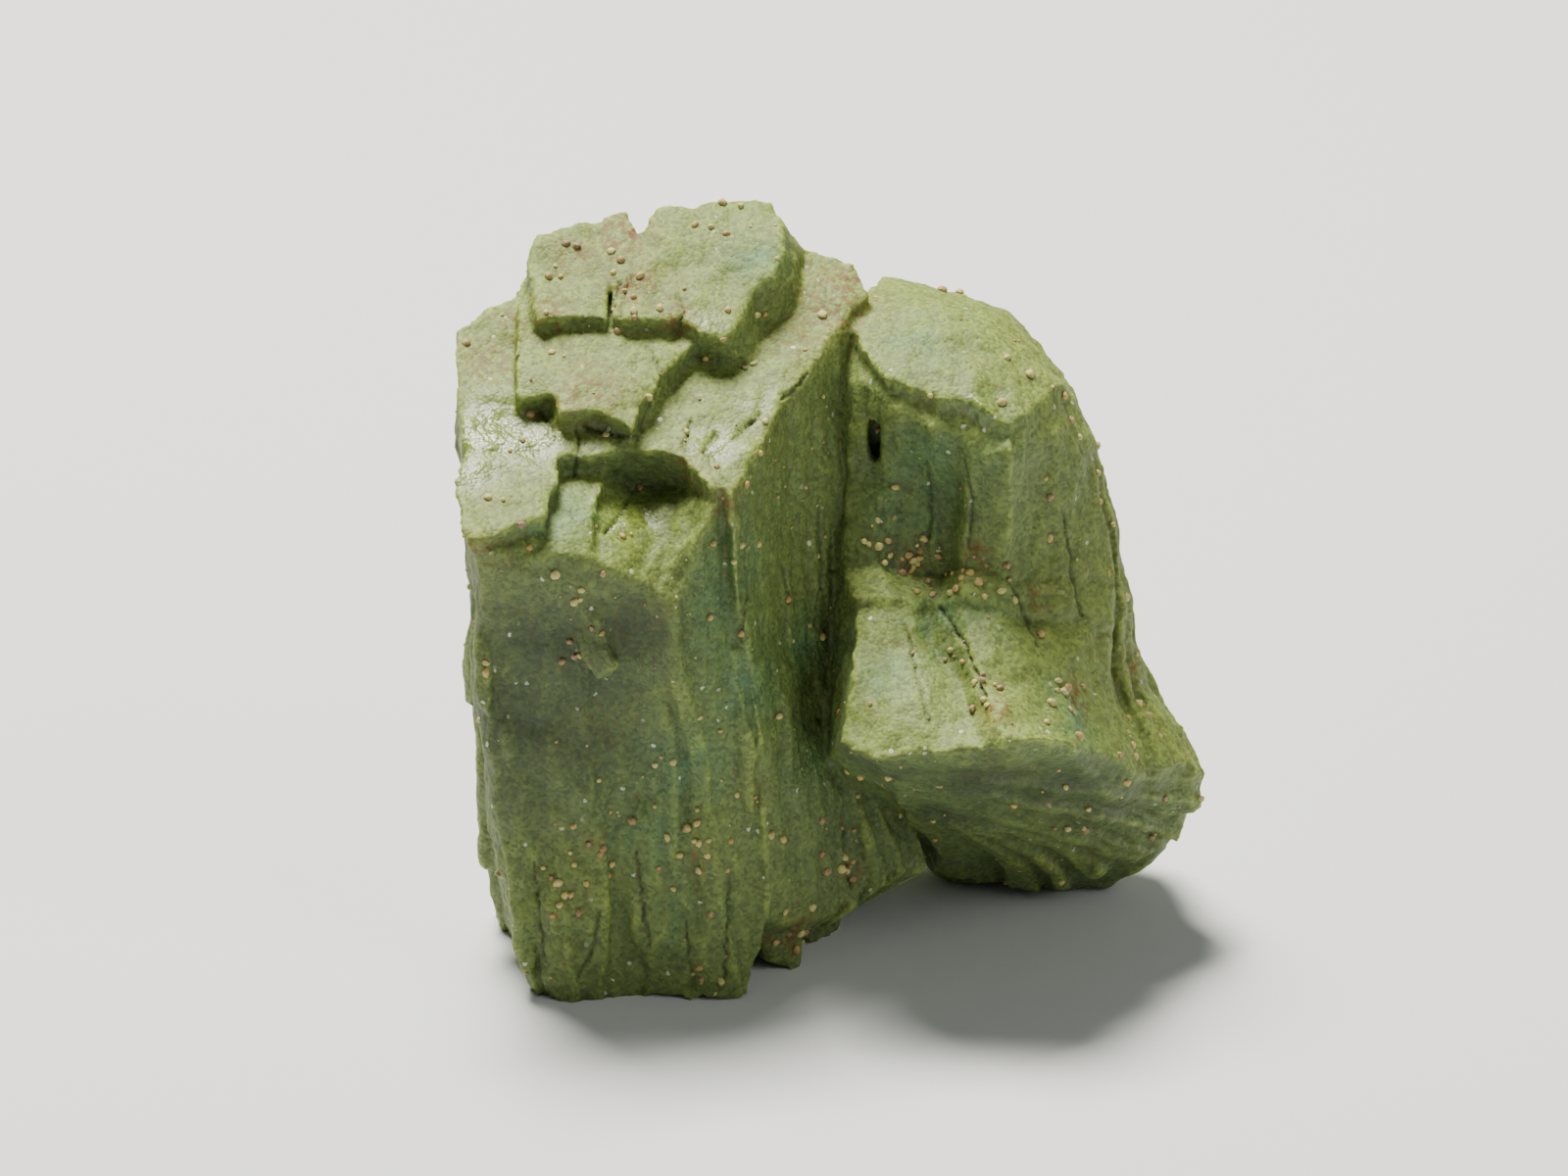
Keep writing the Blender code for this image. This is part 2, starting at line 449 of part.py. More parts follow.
def fan(collection):
    """Fibres that fan out from the waist over the underside of the right sheaf."""
    rng = random.Random(FAN_SEED)
    columns = []
    for k in range(FAN_FIBRES):
        lift = rng.uniform(*FAN_LIFT)
        places = FAN_PLACES[:-1] + [FAN_PLACES[-1] - rng.uniform(0.0, FAN_RAGGED)]
        for edge in (STEP_SHARE, 1.0 - STEP_SHARE):
            along = (k + edge) / FAN_FIBRES
            rows = (FAN_STARTS, FAN_MIDDLES, FAN_ENDS)
            line = [straight_point(row, along * (len(row) - 1)) for row in rows]
            front = [curve_point(line, place) + FAN_OUT * lift * (0.3 + 0.5 * place) for place in places]
            back = [point + FAN_BACK for point in reversed(front)]
            columns.append(front + back)
    return loft("fan", columns, collection)


def single_blades(collection):
    """Single blades that lie on the faces and end in a tip."""
    for number, (head, tip, width, proud, facing) in enumerate(SINGLE_BLADES):
        turn = Matrix.Rotation(math.radians(facing), 3, "Z")
        rings = []
        for place, spread, rise in BLADE_PROFILE:
            middle = Vector(head).lerp(Vector(tip), place)
            half = 0.5 * width * spread
            front = -proud * rise
            section = [(-half, BLADE_ROOT), (-half, front + BLADE_SKEW), (0.5 * half, front - BLADE_SKEW),
                       (half, front + BLADE_SKEW), (half, BLADE_ROOT)]
            rings.append([middle + turn @ Vector((x, y, 0.0)) for x, y in section])
        loft("single_blade_" + str(number), rings, collection)


def hanging_blades(collection):
    """Broken blades below the side face."""
    for number, (outline, head, feet) in enumerate(HANGING_BLADES):
        rings = [[(x, y, head) for x, y in outline], [(x, y, z) for (x, y), z in zip(outline, feet)]]
        loft("hanging_blade_" + str(number), rings, collection)


def slots(collection):
    """Narrow gaps between blades."""
    for number, (middle, size) in enumerate(SLOTS):
        work = bmesh.new()
        bmesh.ops.create_cube(work, size=1.0)
        bmesh.ops.scale(work, vec=size, verts=work.verts)
        bmesh.ops.translate(work, vec=middle, verts=work.verts)
        mesh_object("slot_" + str(number), work, collection)


def top_plates(collection):
    """The two plates that step up to the back of the left sheaf."""
    rng = random.Random(PLATE_SEED)
    plate("second_plate", SECOND_OUTLINE, SECOND_OUTLINE, SECOND_PLATE, collection)
    slanted = [(x + SIDE_SLANT, along) if k in SLANTED_CORNERS else (x, along)
               for k, (x, along) in enumerate(HIGHEST_OUTLINE)]
    plate("highest_plate", broken(HIGHEST_OUTLINE, rng), broken(slanted, rng), HIGHEST_PLATE, collection)


def low_shelf(collection):
    """Cutter that lowers the front of the left sheaf's top behind an arched step."""
    columns = []
    for (x, along, depth), lip in SHELF_COLUMNS:
        head = Vector(on_top(x, along, SHELF_HEAD))
        foot = Vector(on_top(x, along, -depth))
        lip = Vector(lip)
        middle = foot.lerp(lip, 0.5) + Vector((0.0, 0.0, SHELF_CROWN))
        beyond = lip + SHELF_BEYOND
        columns.append([
            Vector((head.x, head.y, SHELF_SKY)), head, foot, middle, lip, beyond,
            Vector((beyond.x, beyond.y, SHELF_SKY)),
        ])
    return loft("low_shelf", columns, collection)


def floor_block(collection):
    """Block under the flat ends that the piece stands on."""
    work = bmesh.new()
    bmesh.ops.create_cube(work, size=FLOOR_BLOCK)
    bmesh.ops.translate(work, vec=(0.0, 0.0, -FLOOR_BLOCK / 2), verts=work.verts)
    return mesh_object("floor_block", work, collection)


def keep_outer_skin(work):
    """Fill the closed pockets between grown-together blades by dropping their inner skins."""
    unseen = set(work.faces)
    shells = []
    while unseen:
        shell, edge = [], [unseen.pop()]
        while edge:
            face = edge.pop()
            shell.append(face)
            for side in face.edges:
                for other in side.link_faces:
                    if other in unseen:
                        unseen.remove(other)
                        edge.append(other)
        shells.append(shell)
    shells.sort(key=len)
    inner = [face for shell in shells[:-1] for face in shell]
    bmesh.ops.delete(work, geom=inner, context="FACES")


def fuse(collection, growths, cutters):
    """One solid from the overlapping growths less the cutters."""
    base = growths.objects[0]
    body = bpy.data.objects.new(NAME, base.data.copy())
    collection.objects.link(body)
    for tool in list(growths.objects)[1:]:
        step = body.modifiers.new("join " + tool.name, "BOOLEAN")
        step.operation = "UNION"
        step.solver = "EXACT"
        step.object = tool
    for tool in cutters.objects:
        step = body.modifiers.new("cut " + tool.name, "BOOLEAN")
        step.operation = "DIFFERENCE"
        step.solver = "EXACT"
        step.object = tool
    bpy.context.view_layer.update()
    evaluated = body.evaluated_get(bpy.context.evaluated_depsgraph_get())
    mesh = bpy.data.meshes.new_from_object(evaluated)
    body.modifiers.clear()
    body.data = mesh
    work = bmesh.new()
    work.from_mesh(mesh)
    keep_outer_skin(work)
    bmesh.ops.triangulate(work, faces=work.faces)
    work.to_mesh(mesh)
    work.free()
    return body


def centre_on_floor(body, others):
    """Put the origin on the floor under the middle of the piece."""
    corners = [Vector(corner) for corner in body.bound_box]
    low = Vector([min(corner[k] for corner in corners) for k in range(3)])
    high = Vector([max(corner[k] for corner in corners) for k in range(3)])
    middle = (low + high) / 2
    shift = Matrix.Translation((-middle.x, -middle.y, -low.z))
    for item in [body] + others:
        item.data.transform(shift)
        item.data.update()


def stone_material():
    """Pale sea-green stone with a soft, slightly waxy surface."""
    made = bpy.data.materials.new("heulandite")
    made.use_nodes = True
    shader = made.node_tree.nodes["Principled BSDF"]
    shader.inputs["Base Color"].default_value = STONE_COLOUR
    shader.inputs["Roughness"].default_value = STONE_ROUGHNESS
    shader.inputs["Metallic"].default_value = 0.0
    return made


def main():
    clear_scene()
    pieces = new_collection("rough_heulandite")
    growths = new_collection("growths")
    cutters = new_collection("cutters")
    left_sheaf(growths)
    right_sheaf(growths)
    fan(growths)
    top_plates(growths)
    single_blades(growths)
    hanging_blades(growths)
    low_shelf(cutters)
    slots(cutters)
    floor_block(cutters)
    tools = list(growths.objects) + list(cutters.objects)
    for tool in tools:
        tool.hide_render = True
        tool.display_type = "WIRE"
    body = fuse(pieces, growths, cutters)
    centre_on_floor(body, tools)
    body.data.materials.clear()
    body.data.materials.append(stone_material())


main()
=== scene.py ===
# %% [markdown]
# Rough heulandite. The piece is two flaring sheaves of platy crystals that grew into each other.
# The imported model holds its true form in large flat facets: blades, plates, ledges and the flat foot.
# This lesson gives it the rest: worn and chipped edges, wavy plates, sugary grain, cracks, a waxy
# sea-green stone that light sinks into, rust stains, and the sand grains that stuck to it.

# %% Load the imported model
import math

import bpy
import numpy as np
from mathutils import Matrix, Vector, kdtree, noise
from mathutils.bvhtree import BVHTree


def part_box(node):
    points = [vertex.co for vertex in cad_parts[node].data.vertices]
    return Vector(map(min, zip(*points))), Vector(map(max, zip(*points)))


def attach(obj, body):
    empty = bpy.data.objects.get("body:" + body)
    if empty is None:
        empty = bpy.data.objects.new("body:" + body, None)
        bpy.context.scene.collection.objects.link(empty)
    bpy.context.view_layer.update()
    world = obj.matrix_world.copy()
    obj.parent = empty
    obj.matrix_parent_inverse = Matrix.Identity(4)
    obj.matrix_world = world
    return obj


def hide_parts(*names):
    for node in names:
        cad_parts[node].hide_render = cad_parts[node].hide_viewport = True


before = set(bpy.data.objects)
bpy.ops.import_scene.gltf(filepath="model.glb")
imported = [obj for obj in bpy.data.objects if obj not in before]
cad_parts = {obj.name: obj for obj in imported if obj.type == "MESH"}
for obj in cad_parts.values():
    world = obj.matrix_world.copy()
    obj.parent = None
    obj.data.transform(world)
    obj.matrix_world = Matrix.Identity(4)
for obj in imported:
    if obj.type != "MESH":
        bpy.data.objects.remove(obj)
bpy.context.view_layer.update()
MM = 0.001
NODE = "heulandite_cluster"
low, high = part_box(NODE)
print("stone is", [round((b - a) / MM, 1) for a, b in zip(low, high)], "mm")

# %% [markdown]
# The camera looks down on the stone by 25 degrees, from far off, so that upright edges stay upright.
# A long lens far away keeps the proportions of a hand-size stone honest. The aim is the point
# that lies in the middle of the picture.

# %% Camera
VIEW_ELEVATION = math.radians(25.0)
LENS = 400.0
FILM = 36.0
PICTURE_WIDTH = 103.2 * MM
AIM = Vector((-3.1, 0.0, 25.1)) * MM

camera_data = bpy.data.cameras.new("camera")
camera_data.lens = LENS
camera_data.sensor_width = FILM
camera_data.clip_end = 20.0
camera = bpy.data.objects.new("camera", camera_data)
bpy.context.scene.collection.objects.link(camera)
away = Vector((0.0, -math.cos(VIEW_ELEVATION), math.sin(VIEW_ELEVATION)))
camera.location = AIM + away * (PICTURE_WIDTH * LENS / FILM)
camera.rotation_euler = away.to_track_quat("Z", "Y").to_euler()
bpy.context.scene.camera = camera
print("camera is", round(PICTURE_WIDTH * LENS / FILM, 2), "m away")

# %% [markdown]
# A small studio: a wide pale floor, a pale sky, one soft key light high behind the stone's left
# shoulder, as in the picture, and a weak fill. The key skims the sloping plates,
# so they shine, and leaves the hollow front in shade.

# %% Floor
FLOOR_SIZE = 3.0
FLOOR_COLOUR = (0.72, 0.72, 0.70, 1.0)


def deselect():
    """Nothing selected, in object mode."""
    if bpy.context.object and bpy.context.object.mode != "OBJECT":
        bpy.ops.object.mode_set(mode="OBJECT")
    bpy.ops.object.select_all(action="DESELECT")


def pick(item):
    """Only this object selected and active."""
    deselect()
    item.select_set(True)
    bpy.context.view_layer.objects.active = item


deselect()
bpy.ops.mesh.primitive_plane_add(size=FLOOR_SIZE, location=(0.0, 0.0, 0.0))
floor = bpy.context.object
floor.name = "floor"
floor_paint = bpy.data.materials.new("floor_paint")
floor_paint.use_nodes = True
floor_shader = floor_paint.node_tree.nodes["Principled BSDF"]
floor_shader.inputs["Base Color"].default_value = FLOOR_COLOUR
floor_shader.inputs["Roughness"].default_value = 0.8
floor.data.materials.append(floor_paint)

# %% Lights


def area_light(name, place, size, power, colour):
    """Square soft light that looks at the stone."""
    data = bpy.data.lights.new(name, "AREA")
    data.size = size
    data.energy = power
    data.color = colour
    lamp = bpy.data.objects.new(name, data)
    bpy.context.scene.collection.objects.link(lamp)
    lamp.location = place
    lamp.rotation_euler = (Vector(place) - AIM).to_track_quat("Z", "Y").to_euler()
    return lamp


area_light("key", (-0.12, 0.18, 0.62), 0.24, 12.5, (1.0, 0.98, 0.93))
area_light("fill", (0.55, -0.40, 0.45), 0.4, 1.6, (0.95, 0.98, 1.0))
world = bpy.data.worlds.new("studio")
bpy.context.scene.world = world
world.use_nodes = True
backdrop = world.node_tree.nodes["Background"]
backdrop.inputs["Color"].default_value = (0.9, 0.93, 0.95, 1.0)
backdrop.inputs["Strength"].default_value = 0.13

# %% [markdown]
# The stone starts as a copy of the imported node. The copy's loose triangles are merged, and a voxel
# remesh lays an even skin over it, fine enough to carry chips and waves. The remesh also rounds
# each edge a little, as the edges of a soft mineral are.

# %% Copy the node and lay a fine skin
VOXEL = 0.18 * MM


def apply_all(item):
    """Apply every modifier, first to last."""
    pick(item)
    for step in [modifier.name for modifier in item.modifiers]:
        bpy.ops.object.modifier_apply(modifier=step)


pick(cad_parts[NODE])
bpy.ops.object.duplicate()
stone = bpy.context.object
stone.name = "heulandite_stone"
stone.parent = None
for key in list(stone.keys()):
    del stone[key]
bpy.ops.object.mode_set(mode="EDIT")
bpy.ops.mesh.select_all(action="SELECT")
bpy.ops.mesh.remove_doubles(threshold=0.0001 * MM)
bpy.ops.object.mode_set(mode="OBJECT")
skin = stone.modifiers.new("skin", "REMESH")
skin.mode = "VOXEL"
skin.voxel_size = VOXEL
apply_all(stone)
print("skin of", len(stone.data.polygons), "faces")

# %% [markdown]
# Straight CAD edges look machined. A cloud texture in colour, whose red, green and blue push a point
# along X, Y and Z, bends every edge a little, so that no blade stays ruler-straight. One coarse wave
# and one fine one are enough. The foot is pressed flat again afterwards, because the piece stands on it.

# %% Waves
SMOOTH_STEPS = 1
WAVES = [(6.0 * MM, 1.3 * MM), (1.9 * MM, 0.42 * MM)]


def cloud(name, size, depth=2, colour=False):
    """Procedural cloud texture with lumps of a size."""
    made = bpy.data.textures.new(name, "CLOUDS")
    made.noise_scale = size
    made.noise_depth = depth
    made.cloud_type = "COLOR" if colour else "GRAYSCALE"
    return made


def displace(item, name, texture, strength, group="", spread=None, middle=0.5):
    """Add a Displace modifier; in colour it moves points every way, else along their normals."""
    step = item.modifiers.new(name, "DISPLACE")
    step.texture = texture
    step.strength = strength
    step.mid_level = middle
    coloured = texture.type == "CLOUDS" and texture.cloud_type == "COLOR"
    step.direction = "RGB_TO_XYZ" if coloured else "NORMAL"
    step.vertex_group = group
    if spread is not None:
        step.texture_coords = "OBJECT"
        step.texture_coords_object = spread
    return step


soften = stone.modifiers.new("soften", "SMOOTH")
soften.factor = 0.5
soften.iterations = SMOOTH_STEPS
for number, (size, strength) in enumerate(WAVES):
    name = "wave_" + str(number)
    displace(stone, name, cloud(name, size, colour=True), strength)
apply_all(stone)
print("waves laid over", len(stone.data.vertices), "points")

# %% [markdown]
# Wear is not the same everywhere: ridges chip and hollows stay sharp. To find them, each point is
# compared with the average of its surroundings. A point that stands out is on a ridge, one that
# lies deep is in a hollow. The two masks drive both the chips here and the colours later.

# %% Measure ridges and hollows
RIDGE_REACH = 14
RIDGE_HEIGHT = 0.13 * MM


def points_of(mesh):
    """Coordinates of the points, as an array."""
    flat = np.zeros(len(mesh.vertices) * 3, np.float64)
    mesh.vertices.foreach_get("co", flat)
    return flat.reshape(-1, 3)


def normals_of(mesh):
    """Normals of the points, as an array."""
    flat = np.zeros(len(mesh.vertices) * 3, np.float32)
    mesh.vertex_normals.foreach_get("vector", flat)
    return flat.reshape(-1, 3).astype(np.float64)


def links_of(mesh):
    """Both ends of every edge, as two arrays."""
    flat = np.zeros(len(mesh.edges) * 2, np.int32)
    mesh.edges.foreach_get("vertices", flat)
    return flat.reshape(-1, 2).T


def evened(values, ends, rounds):
    """Values spread over the neighbours of each point, a number of times."""
    first, second = ends
    count = len(values)
    shares = np.bincount(first, minlength=count) + np.bincount(second, minlength=count)
    columns = values.reshape(count, -1)
    for _ in range(rounds):
        spread = np.stack([
            np.bincount(first, weights=column[second], minlength=count)
            + np.bincount(second, weights=column[first], minlength=count)
            for column in columns.T
        ], axis=1)
        columns = 0.5 * columns + 0.5 * spread / np.maximum(shares, 1)[:, None]
    return columns.reshape(values.shape)


def standing_out(mesh, rounds):
    """How far each point stands out of its surroundings, in metres."""
    places = points_of(mesh)
    around = evened(places, links_of(mesh), rounds)
    return ((places - around) * normals_of(mesh)).sum(axis=1)


def paint_group(item, name, weights):
    """Vertex group with a weight for every point, rounded to steps so that points share a call."""
    group = item.vertex_groups.new(name=name)
    steps = np.round(np.clip(weights, 0.0, 1.0) * 20).astype(int)
    for step in range(1, 21):
        group.add(np.flatnonzero(steps == step).tolist(), step / 20, "REPLACE")


relief = standing_out(stone.data, RIDGE_REACH)
paint_group(stone, "ridges", relief / RIDGE_HEIGHT)
sideways = 1.0 - np.abs(normals_of(stone.data)[:, 2])
paint_group(stone, "sides", (sideways - 0.2) * 2.5)
print("ridge points", int((relief > RIDGE_HEIGHT).sum()))

# %% [markdown]
# Three finer layers follow. Chips pull the ridges in by uneven amounts. Long streaks, from a cloud
# stretched ten times along Z, are the edges of single crystals too thin to model one by one.
# Last comes a sugary grain all over.

# %% Chips, streaks and grain
CHIP_SIZE = 0.8 * MM
CHIP_DEPTH = 0.30 * MM
STREAK_WIDTH = 0.5 * MM
STREAK_LENGTH = 10.0
STREAK_DEPTH = 0.25 * MM
GRAIN_SIZE = 0.6 * MM
GRAIN_DEPTH = 0.07 * MM

displace(stone, "chips", cloud("chips", CHIP_SIZE), -CHIP_DEPTH, group="ridges", middle=0.3)
stretch = bpy.data.objects.new("stretch", None)
stretch.scale = (1.0, 1.0, STREAK_LENGTH)
bpy.context.scene.collection.objects.link(stretch)
displace(stone, "streaks", cloud("streaks", STREAK_WIDTH, depth=1), STREAK_DEPTH, group="sides", spread=stretch)
displace(stone, "grain", cloud("grain", GRAIN_SIZE, depth=2), GRAIN_DEPTH)
apply_all(stone)
bpy.data.objects.remove(stretch)
relief = standing_out(stone.data, RIDGE_REACH)

# %% [markdown]
# Cracks run over the plates where the stone has begun to split. Each is a line of places in the
# picture; a ray from the camera through each place finds the stone, and the points near the line
# are pushed in, deepest in the middle, which leaves a narrow groove.

# %% Find places by the picture and press the cracks in
PICTURE_PIXELS = Vector((1600.0, 1200.0))
CRACK_WIDTH = 0.17 * MM
CRACK_DEPTH = 0.32 * MM
CRACK_STEP = 1.6
CRACKS = [
    [(589, 438), (591, 462), (586, 486)], [(646, 500), (634, 524), (617, 545)],
    [(644, 281), (637, 300), (632, 324)], [(634, 288), (628, 304), (622, 322)],
    [(690, 300), (697, 318), (694, 334)], [(772, 626), (778, 655)],
    [(776, 421), (762, 437), (748, 449)], [(825, 380), (812, 396), (798, 407)],
    [(704, 430), (701, 446), (697, 460)], [(729, 441), (725, 452), (719, 462)],
    [(553, 419), (560, 432), (566, 450)], [(531, 348), (529, 358), (527, 370)],
    [(596, 436), (640, 446), (652, 444)], [(660, 352), (676, 386), (652, 440)],
    [(800, 580), (806, 610), (800, 650)], [(835, 520), (840, 580), (832, 640)],
    [(760, 560), (764, 600), (758, 640)], [(945, 470), (952, 520), (946, 560)],
    [(985, 470), (992, 520), (988, 560)], [(1030, 590), (1046, 630), (1060, 660)],
    [(960, 620), (985, 660), (1005, 712)], [(925, 640), (936, 690), (950, 740)],
    [(1085, 520), (1095, 590), (1104, 630)], [(650, 870), (655, 920), (662, 965)],
    [(612, 930), (606, 965), (590, 1000)], [(745, 900), (742, 950), (738, 1000)],
    [(545, 880), (550, 930), (556, 975)], [(700, 940), (702, 975), (708, 1010)],
    [(860, 820), (862, 870), (868, 905)],
]

right = Vector((1.0, 0.0, 0.0))
up = away.cross(right)


def bark_of(mesh):
    """Tree for rays against a mesh."""
    return BVHTree.FromPolygons([vertex.co.copy() for vertex in mesh.vertices],
                                [tuple(face.vertices) for face in mesh.polygons])


def on_stone(column, row):
    """Point and normal of the stone that the camera sees at a picture place, in pixels."""
    scale = PICTURE_WIDTH / PICTURE_PIXELS.x
    target = AIM + right * (column - PICTURE_PIXELS.x / 2) * scale - up * (row - PICTURE_PIXELS.y / 2) * scale
    place, normal, _, _ = bark.ray_cast(camera.location, (target - camera.location).normalized())
    return place, normal


bark = bark_of(stone.data)
dense_tree = kdtree.KDTree(len(stone.data.vertices))
for index, place in enumerate(points_of(stone.data)):
    dense_tree.insert(place, index)
dense_tree.balance()
inward = -normals_of(stone.data)
pressed = np.zeros(len(stone.data.vertices))
for line in CRACKS:
    for start, end in zip(line, line[1:]):
        start, end = Vector(start), Vector(end)
        for k in range(math.ceil((end - start).length / CRACK_STEP)):
            spot = start.lerp(end, k * CRACK_STEP / (end - start).length)
            spot.x += 3.0 * noise.noise(Vector((spot.x, spot.y, 0.0)) / 9.0)
            middle = on_stone(spot.x, spot.y)[0]
            if middle is None:
                continue
            for _, index, distance in dense_tree.find_range(middle, CRACK_WIDTH):
                pressed[index] = max(pressed[index], 1.0 - distance / CRACK_WIDTH)
moved = points_of(stone.data) + inward * (pressed * CRACK_DEPTH)[:, None]
stone.data.vertices.foreach_set("co", moved.ravel())
stone.data.update()
print("cracks press", int((pressed > 0).sum()), "points")

# %% [markdown]
# The fine skin has more faces than the eye can tell apart. Decimate merges those on flat ground
# and spends what is left on edges and chips. The foot is pressed flat last.

# %% Thin the mesh and flatten the foot
MOST_FACES = 190000
FOOT_REACH = 0.5 * MM

triangles = sum(len(face.vertices) - 2 for face in stone.data.polygons)
thin = stone.modifiers.new("thin", "DECIMATE")
thin.ratio = min(1.0, MOST_FACES / triangles)
thin.use_collapse_triangulate = True
apply_all(stone)
for vertex in stone.data.vertices:
    if vertex.co.z < FOOT_REACH:
        vertex.co.z = 0.0 if vertex.co.z < 0.3 * FOOT_REACH else vertex.co.z
nearest = [dense_tree.find(vertex.co)[1] for vertex in stone.data.vertices]
relief = relief[nearest]
pressed = pressed[nearest]
bark = bark_of(stone.data)
print("from", triangles, "to", len(stone.data.polygons), "triangles")

# %% [markdown]
# Colour on this stone has causes: ridges are thin and let light through, and this light is painted on them as
# a paler green; faces that little light from above reaches get a painted shade of darker green, and rust
# gathers on the plates. Each cause becomes one attribute on the points, so that the material can read it.

# %% Spots of colour and of painted shade


def spotted(spots):
    """Mask from soft round spots; each is column, row, radius in millimetres and strength."""
    mask = np.zeros(len(stone.data.vertices))
    places = points_of(stone.data)
    for column, row, radius, strength in spots:
        middle = on_stone(column, row)[0]
        if middle is None:
            continue
        distance = np.linalg.norm(places - np.array(middle), axis=1) / (radius * MM)
        mask = np.maximum(mask, strength * np.exp(-distance ** 2))
    return mask


RUST_SPOTS = [
    (632, 240, 1.8, 1.0), (650, 290, 1.6, 1.0), (690, 325, 1.2, 0.9), (590, 262, 1.6, 0.6), (560, 320, 1.6, 0.7),
    (500, 370, 2.0, 0.6), (520, 330, 1.4, 0.6), (600, 395, 2.4, 0.5), (870, 292, 2.4, 0.8), (848, 320, 2.2, 0.7),
    (812, 345, 1.6, 0.5), (738, 512, 1.0, 0.8), (1100, 712, 1.2, 1.0), (1016, 724, 1.0, 1.0), (994, 565, 0.9, 1.0),
    (932, 572, 1.0, 0.8), (870, 890, 1.0, 0.8), (715, 880, 1.0, 0.7), (805, 950, 1.8, 0.9), (612, 862, 0.9, 0.6),
    (1155, 682, 0.9, 0.9), (488, 560, 0.9, 0.7), (700, 480, 1.4, 0.5), (1060, 610, 1.2, 0.5),
]
TEAL_SPOTS = [
    (775, 268, 1.8, 1.0), (745, 590, 3.2, 0.8), (760, 700, 3.2, 0.8), (820, 660, 2.4, 0.6), (690, 780, 3.6, 0.7),
    (930, 520, 3.0, 0.8), (960, 640, 2.6, 0.8), (1095, 728, 2.4, 1.0), (950, 470, 2.6, 0.7), (1010, 440, 2.6, 0.5),
    (935, 350, 3.0, 0.6), (580, 525, 2.0, 0.8), (560, 545, 1.8, 0.6), (660, 850, 3.0, 0.7), (700, 930, 3.0, 0.4),
    (905, 690, 2.4, 0.6), (720, 640, 2.4, 0.6), (1020, 620, 2.2, 0.5), (820, 780, 3.0, 0.6),
]
GLOSS_SPOTS = [
    (500, 440, 3.2, 1.0), (540, 450, 2.6, 0.9), (480, 480, 2.2, 0.8), (645, 525, 2.2, 1.0), (630, 545, 1.8, 0.8),
    (730, 455, 2.0, 0.7), (1000, 420, 1.6, 1.0), (720, 330, 1.4, 0.5), (600, 445, 1.2, 0.6), (780, 420, 2.2, 0.5),
]
# Spots of painted shade: the hollow front, the underside of the overhang and a few notches are painted deep green, as
# if in shadow.
PAINTED_SHADE_SPOTS = [
    (560, 660, 5.5, 1.0), (640, 640, 4.0, 1.0), (540, 740, 5.5, 1.0), (600, 760, 4.5, 0.9), (530, 810, 4.0, 0.7),
    (600, 700, 4.5, 0.9), (870, 770, 4.0, 0.9), (900, 790, 3.5, 0.9), (1000, 800, 4.5, 1.0), (1080, 810, 4.5, 1.0),
    (960, 830, 3.5, 1.0), (1130, 830, 4.0, 0.8), (895, 560, 2.4, 0.8), (880, 640, 2.6, 0.9), (893, 460, 1.6, 1.0),
]

# %% Paint the causes of colour, painted shade among them, on the points
LIGHT_RAY_REACH = 16.0 * MM
LIGHT_RAY_LIFT = 0.35 * MM
LIGHT_RAY_STEPS = ((0.25, 6), (0.75, 8))
EVEN_ROUNDS = 5


def light_share_from_above():
    """How much of the light from above and behind reaches each point, from 0 to 1."""
    directions = [Vector((0.0, 0.0, 1.0))]
    for lean, count in LIGHT_RAY_STEPS:
        for k in range(count):
            turn = 2 * math.pi * k / count
            directions.append(Vector((lean * math.cos(turn), lean * math.sin(turn), 1.0)).normalized())
    share = np.zeros(len(stone.data.vertices))
    places, normals = points_of(stone.data), normals_of(stone.data)
    for direction in directions:
        facing = np.clip(normals @ np.array(direction), 0.0, 1.0)
        for index in np.flatnonzero(facing > 0.05):
            start = Vector(places[index] + normals[index] * LIGHT_RAY_LIFT)
            if bark.ray_cast(start, direction, LIGHT_RAY_REACH)[0] is None:
                share[index] += facing[index]
    return share / len(directions)


def paint(name, values):
    """Store one value for each point as an attribute that materials can read."""
    attribute = stone.data.attributes.new(name, "FLOAT", "POINT")
    attribute.data.foreach_set("value", np.clip(values, 0.0, 1.0).astype(np.float32))
    print(name, "mean", round(float(values.mean()), 3))


links = links_of(stone.data)
paint("ridge", evened(np.clip(relief / RIDGE_HEIGHT, 0.0, 1.5), links, 2))
paint("hollow", -relief / RIDGE_HEIGHT * 0.8)
paint("crack", pressed)
# The share of light from above drives a painted shade: less light, darker green.
paint("sky", evened(light_share_from_above(), links, EVEN_ROUNDS))
paint("rust", spotted(RUST_SPOTS))
paint("teal", spotted(TEAL_SPOTS))
paint("gloss", spotted(GLOSS_SPOTS))
# The spots of painted shade become an attribute too.
paint("shade_spot_mask", spotted(PAINTED_SHADE_SPOTS))

# %% [markdown]
# Two finishes share the same sugary grain, so it is a node group: two layers of cells, a coarse one
# and a fine one, that give a shade and a height. The stone and the sand grains both use it.

# %% Sugary grain as a node group


def node(tree, kind, **settings):
    """Add a shader node and set what is named."""
    made = tree.nodes.new(kind)
    for name, value in settings.items():
        setattr(made, name, value)
    return made


def plug(tree, source, target):
    """Join an output to an input."""
    tree.links.new(source, target)


def math_node(tree, operation, first, second, clamp=False):
    """Sum of two inputs, each a number or an output."""
    made = node(tree, "ShaderNodeMath", operation=operation, use_clamp=clamp)
    for socket, value in zip(made.inputs, (first, second)):
        if isinstance(value, (int, float)):
            socket.default_value = value
        else:
            plug(tree, value, socket)
    return made.outputs[0]


def ramp(tree, value, low_end, high_end):
    """Value stretched so that its low end is 0 and its high end is 1."""
    made = node(tree, "ShaderNodeMapRange")
    made.inputs["From Min"].default_value = low_end
    made.inputs["From Max"].default_value = high_end
    plug(tree, value, made.inputs["Value"])
    return made.outputs["Result"]


